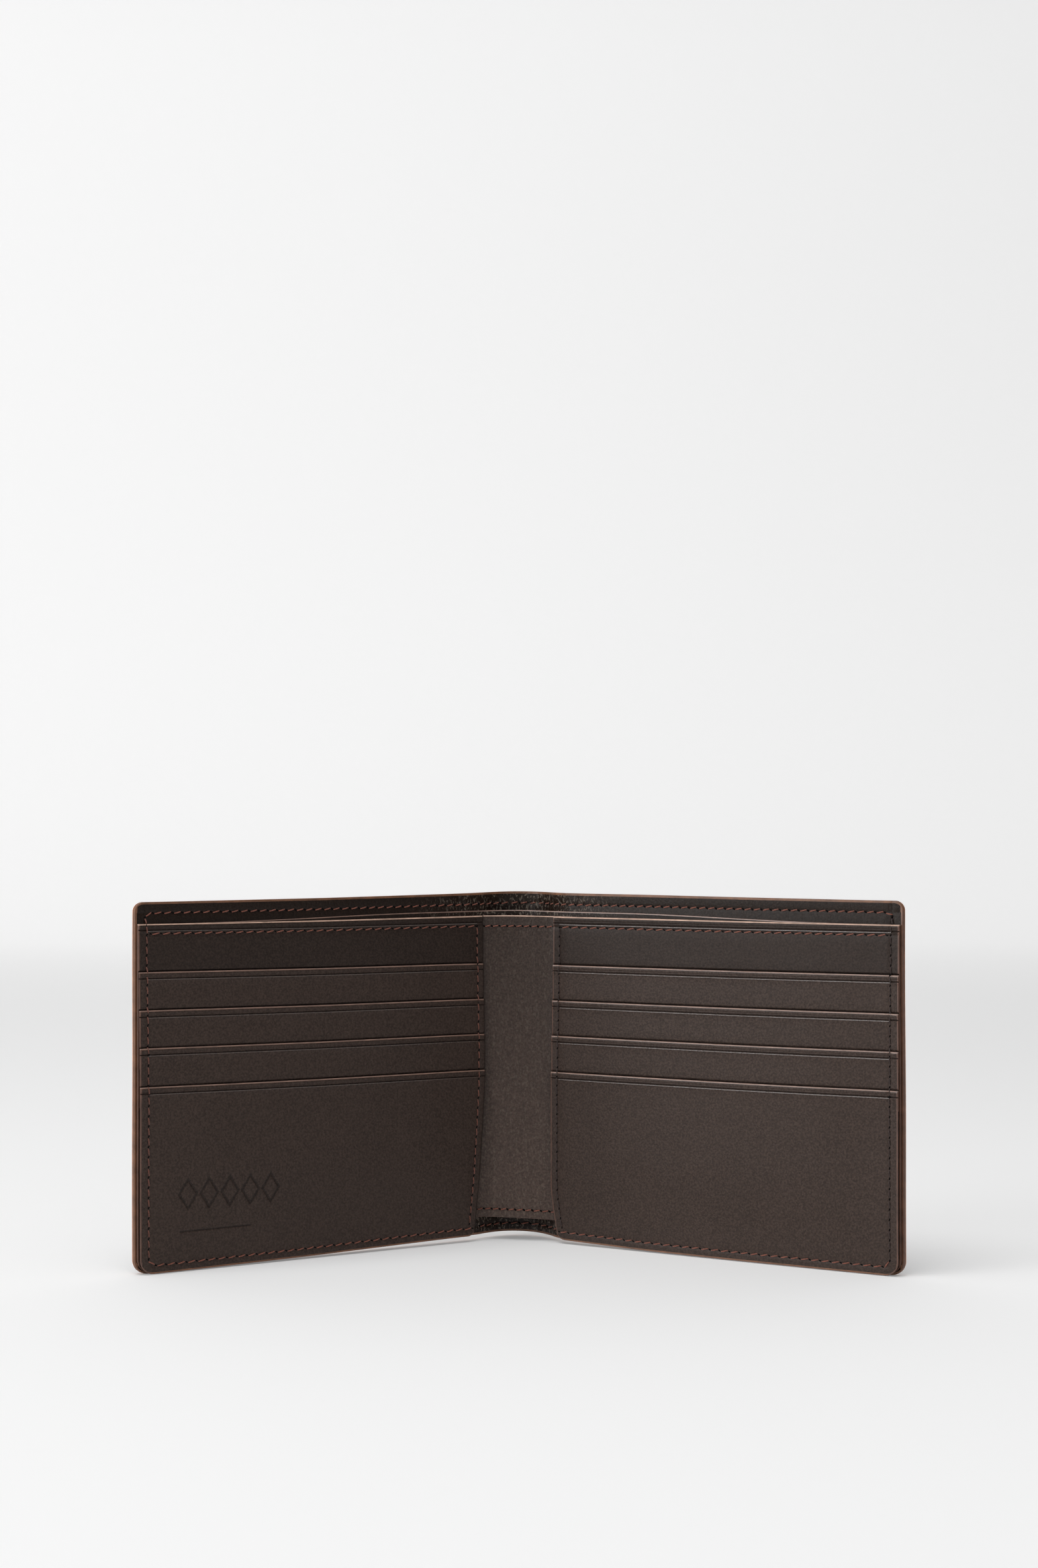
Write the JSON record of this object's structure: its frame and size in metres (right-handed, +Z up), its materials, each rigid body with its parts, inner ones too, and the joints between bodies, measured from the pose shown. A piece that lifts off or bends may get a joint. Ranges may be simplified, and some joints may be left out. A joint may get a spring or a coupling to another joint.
{
  "type": "bifold wallet",
  "caption": "Leather bifold wallet standing open on its long edge, with card pockets in both halves, a divided banknote compartment and a folding spine.",
  "frame": {"origin": "centre of the bounding box in plan, on the surface that the wallet's long edge stands on", "axes": "+X to the right along the open wallet, +Y from the open side towards the spine, +Z up along the spine"},
  "size_m": [0.1878, 0.0694, 0.09],
  "materials": {
    "cover_leather": "dark brown smooth calfskin, satin, painted edges",
    "lining_leather": "near-black brown thin leather, slightly glossy",
    "pocket_leather": "dark brown fine-grained leather, satin, turned edges",
    "board": "bonded leather fibre board, hidden",
    "pocket_fabric": "thin dark brown woven lining, hidden behind the pockets",
    "thread": "reddish brown waxed sewing thread"
  },
  "bodies": {
    "spine": {"cover_shell_spine": "cover_leather", "cover_lining_spine": "lining_leather", "bill_divider_spine": "lining_leather", "bridge": "pocket_leather", "spine_top_seam": "thread", "spine_bottom_seam": "thread", "bridge_top_seam": "thread", "bridge_hem_seam": "thread"},
    "left_half": {"cover_shell_left": "cover_leather", "cover_reinforcement_left": "board", "cover_lining_left": "lining_leather", "bill_divider_left": "lining_leather", "inner_wall_left": "lining_leather", "card_backing_left": "pocket_leather", "card_pocket_1_left": "pocket_leather", "card_pocket_2_left": "pocket_leather", "card_pocket_3_left": "pocket_leather", "front_pocket_left": "pocket_leather", "pocket_lining_1_left": "pocket_fabric", "pocket_lining_2_left": "pocket_fabric", "pocket_lining_3_left": "pocket_fabric", "side_seam_left": "thread", "inner_seam_left": "thread", "bottom_seam_left": "thread", "panel_top_seam_left": "thread", "cover_top_seam_left": "thread"},
    "right_half": {"cover_shell_right": "cover_leather", "cover_reinforcement_right": "board", "cover_lining_right": "lining_leather", "bill_divider_right": "lining_leather", "inner_wall_right": "lining_leather", "card_backing_right": "pocket_leather", "card_pocket_1_right": "pocket_leather", "card_pocket_2_right": "pocket_leather", "card_pocket_3_right": "pocket_leather", "front_pocket_right": "pocket_leather", "pocket_lining_1_right": "pocket_fabric", "pocket_lining_2_right": "pocket_fabric", "pocket_lining_3_right": "pocket_fabric", "side_seam_right": "thread", "inner_seam_right": "thread", "bottom_seam_right": "thread", "panel_top_seam_right": "thread", "cover_top_seam_right": "thread"}
  },
  "joints": [
    {"name": "right_fold", "type": "hinge", "parent": "spine", "child": "right_half", "pos_m": [0.00451, 0.02533, 0.045], "axis": [0, 0, -1], "range_deg": [-13, 77]},
    {"name": "left_fold", "type": "hinge", "parent": "spine", "child": "left_half", "pos_m": [-0.00451, 0.02861, 0.045], "axis": [0, 0, 1], "range_deg": [-53, 37]}
  ]
}
